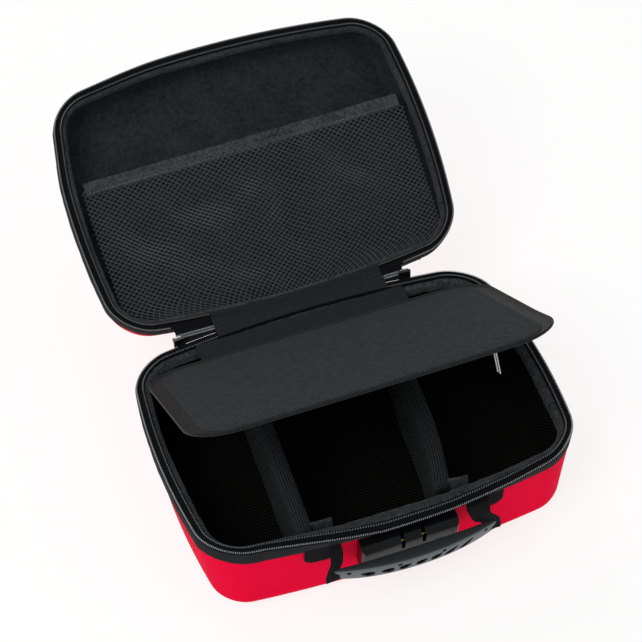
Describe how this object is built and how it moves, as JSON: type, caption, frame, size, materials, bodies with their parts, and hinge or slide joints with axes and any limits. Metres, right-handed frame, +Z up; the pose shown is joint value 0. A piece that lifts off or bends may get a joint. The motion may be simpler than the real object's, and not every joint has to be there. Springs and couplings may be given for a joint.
{
  "type": "massage gun carry case",
  "caption": "Hard-shell zip carry case for a massage gun, with a hinged lid, net pocket, fold-down flap, dividers, combination lock and handle.",
  "frame": {"origin": "centre of the base's flat underside, on the floor", "axes": "+X to the right seen from the handle side, +Y to the hinge, +Z up"},
  "size_m": [0.34, 0.5103, 0.2161],
  "materials": {
    "red_shell": "smooth polyester jersey laminated to moulded EVA",
    "black_lining": "loop-faced lining, matt",
    "rim_fabric": "woven polyester band, matt",
    "zip_tape": "twill zip tape",
    "zip_coil": "nylon coil, slight gloss",
    "binding_fabric": "soft knitted binding, matt",
    "hinge_fabric": "plain woven nylon",
    "pocket_mesh": "square net of nylon cord",
    "flap_fabric": "moulded twill, matt",
    "divider_fabric": "ribbed loop fabric over foam",
    "webbing": "ribbed webbing",
    "handle_rubber": "moulded rubber, satin",
    "lock_plastic": "glossy moulded plastic",
    "nickel": "nickel plate",
    "brass": "plain brass",
    "slider_black": "black enamel"
  },
  "bodies": {
    "base": {"base_shell": "red_shell", "base_lining": "black_lining", "base_rim_band": "rim_fabric", "base_zip_tape": "zip_tape", "base_zip_coil": "zip_coil", "base_binding": "binding_fabric", "hinge_fabric_base": "hinge_fabric", "flap_hinge_strip": "hinge_fabric", "webbing_patch_left": "webbing", "webbing_patch_right": "webbing", "lock_housing": "lock_plastic", "lock_back_plate": "nickel", "lock_rivet_1": "nickel", "lock_rivet_2": "nickel", "lock_spindle": "nickel", "lock_button_spring": "nickel"},
    "lid": {"lid_shell": "red_shell", "lid_lining": "black_lining", "lid_rim_band": "rim_fabric", "lid_zip_tape": "zip_tape", "lid_zip_coil": "zip_coil", "lid_binding": "binding_fabric", "hinge_fabric_lid": "hinge_fabric", "mesh_pocket": "pocket_mesh", "mesh_pocket_band": "binding_fabric"},
    "flap": {"flap_board": "flap_fabric", "flap_panel": "flap_fabric", "flap_zip": "zip_tape"},
    "flap_slider": {"flap_zip_slider": "nickel"},
    "flap_pull": {"flap_wire_pull": "nickel"},
    "left_divider": {"divider_left": "divider_fabric", "divider_left_tab_front": "divider_fabric", "divider_left_tab_rear": "divider_fabric"},
    "right_divider": {"divider_right": "divider_fabric", "divider_right_tab_front": "divider_fabric", "divider_right_tab_rear": "divider_fabric"},
    "handle": {"handle_grip": "handle_rubber", "webbing_loop_left": "webbing", "webbing_loop_right": "webbing"},
    "dial_1": {"lock_dial_1": "lock_plastic"},
    "dial_2": {"lock_dial_2": "lock_plastic"},
    "dial_3": {"lock_dial_3": "lock_plastic"},
    "button": {"lock_button": "lock_plastic"},
    "latch_1": {"lock_latch_1": "brass"},
    "latch_2": {"lock_latch_2": "brass"},
    "left_slider": {"zip_slider_left": "slider_black"},
    "left_pull": {"zip_pull_left": "nickel"},
    "right_slider": {"zip_slider_right": "slider_black"},
    "right_pull": {"zip_pull_right": "nickel"}
  },
  "joints": [
    {"name": "lid_hinge", "type": "hinge", "parent": "base", "child": "lid", "pos_m": [0, 0.127, 0.0868], "axis": [1, 0, 0], "range_deg": [-30, 149]},
    {"name": "flap_hinge", "type": "hinge", "parent": "base", "child": "flap", "pos_m": [0, 0.0915, 0.087], "axis": [1, 0, 0], "range_deg": [-6.5, 31.8]},
    {"name": "flap_zip", "type": "slide", "parent": "flap", "child": "flap_slider", "axis": [1, 0, 0], "range_m": [-0.219, 0.01]},
    {"name": "flap_pull_swing", "type": "hinge", "parent": "flap_slider", "child": "flap_pull", "pos_m": [0.101, -0.06305, 0.17553], "axis": [0, -0.8499, 0.527], "range_deg": [-45, 45]},
    {"name": "left_divider_slide", "type": "slide", "parent": "base", "child": "left_divider", "axis": [1, 0, 0], "range_m": [-0.008, 0.012]},
    {"name": "right_divider_slide", "type": "slide", "parent": "base", "child": "right_divider", "axis": [1, 0, 0], "range_m": [-0.012, 0.008]},
    {"name": "handle_swing", "type": "hinge", "parent": "base", "child": "handle", "pos_m": [0, -0.1294, 0.0685], "axis": [1, 0, 0], "range_deg": [-95, 0]},
    {"name": "dial_1_turn", "type": "hinge", "parent": "base", "child": "dial_1", "pos_m": [-0.033, -0.12999, 0.04741], "axis": [1, 0, 0], "continuous": true},
    {"name": "dial_2_turn", "type": "hinge", "parent": "base", "child": "dial_2", "pos_m": [-0.027, -0.12999, 0.04741], "axis": [1, 0, 0], "continuous": true},
    {"name": "dial_3_turn", "type": "hinge", "parent": "base", "child": "dial_3", "pos_m": [-0.021, -0.12999, 0.04741], "axis": [1, 0, 0], "continuous": true},
    {"name": "button_slide", "type": "slide", "parent": "base", "child": "button", "axis": [0, 0.1397, -0.9902], "range_m": [0, 0.003], "stiffness_N_per_m": 400, "springref_m": -0.002, "deforming": ["lock_button_spring"]},
    {"name": "latch_1_slide", "type": "slide", "parent": "base", "child": "latch_1", "axis": [-1, 0, 0], "range_m": [0, 0.004]},
    {"name": "latch_2_slide", "type": "slide", "parent": "base", "child": "latch_2", "axis": [-1, 0, 0], "range_m": [0, 0.004]},
    {"name": "left_zip_slide", "type": "slide", "parent": "base", "child": "left_slider", "axis": [0.9929, 0.1188, 0], "range_m": [-0.006, 0.02]},
    {"name": "left_pull_swing", "type": "hinge", "parent": "left_slider", "child": "left_pull", "pos_m": [-0.11269, 0.12516, 0.0868], "axis": [0.9929, 0.1188, 0], "range_deg": [-5, 30]},
    {"name": "right_zip_slide", "type": "slide", "parent": "base", "child": "right_slider", "axis": [0.9946, -0.1041, 0], "range_m": [-0.01, 0.016]},
    {"name": "right_pull_swing", "type": "hinge", "parent": "right_slider", "child": "right_pull", "pos_m": [0.0986, 0.12674, 0.0868], "axis": [0.9946, -0.1041, 0], "range_deg": [-5, 30]}
  ],
  "couplings": [
    {"joint": "flap_hinge", "follows": "lid_hinge", "ratio": 0.21342},
    {"joint": "latch_1_slide", "follows": "button_slide", "ratio": 1.3},
    {"joint": "latch_2_slide", "follows": "button_slide", "ratio": 1.3}
  ]
}
